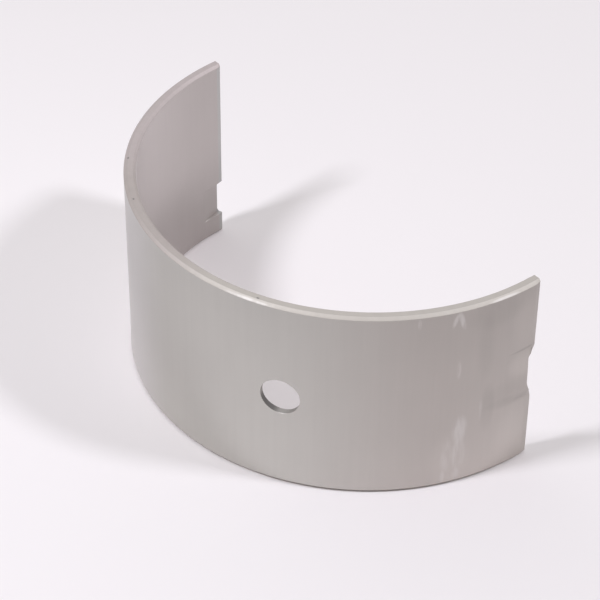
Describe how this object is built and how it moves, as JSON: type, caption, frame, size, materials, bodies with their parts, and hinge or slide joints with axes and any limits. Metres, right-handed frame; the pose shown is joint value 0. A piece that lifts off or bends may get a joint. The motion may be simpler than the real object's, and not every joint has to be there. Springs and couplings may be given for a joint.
{
  "type": "engine bearing shell",
  "caption": "Half shell of a plain engine bearing, with chamfered end faces, a radial oil hole and pressed locating lugs at the joint faces.",
  "frame": {"origin": "on the bearing axis, at the middle of the shell's width", "axes": "+Z along the bearing axis, upwards as the shell stands on its end face; +Y out of the joint faces, so the crown faces -Y; +X towards the joint face whose lug sits near the middle of the width"},
  "size_m": [0.1096, 0.054, 0.049],
  "materials": {
    "shell_metal": "satin, plated, with faint streaks along the axis"
  },
  "bodies": {
    "root": {"bearing_shell": "shell_metal"}
  },
  "joints": []
}
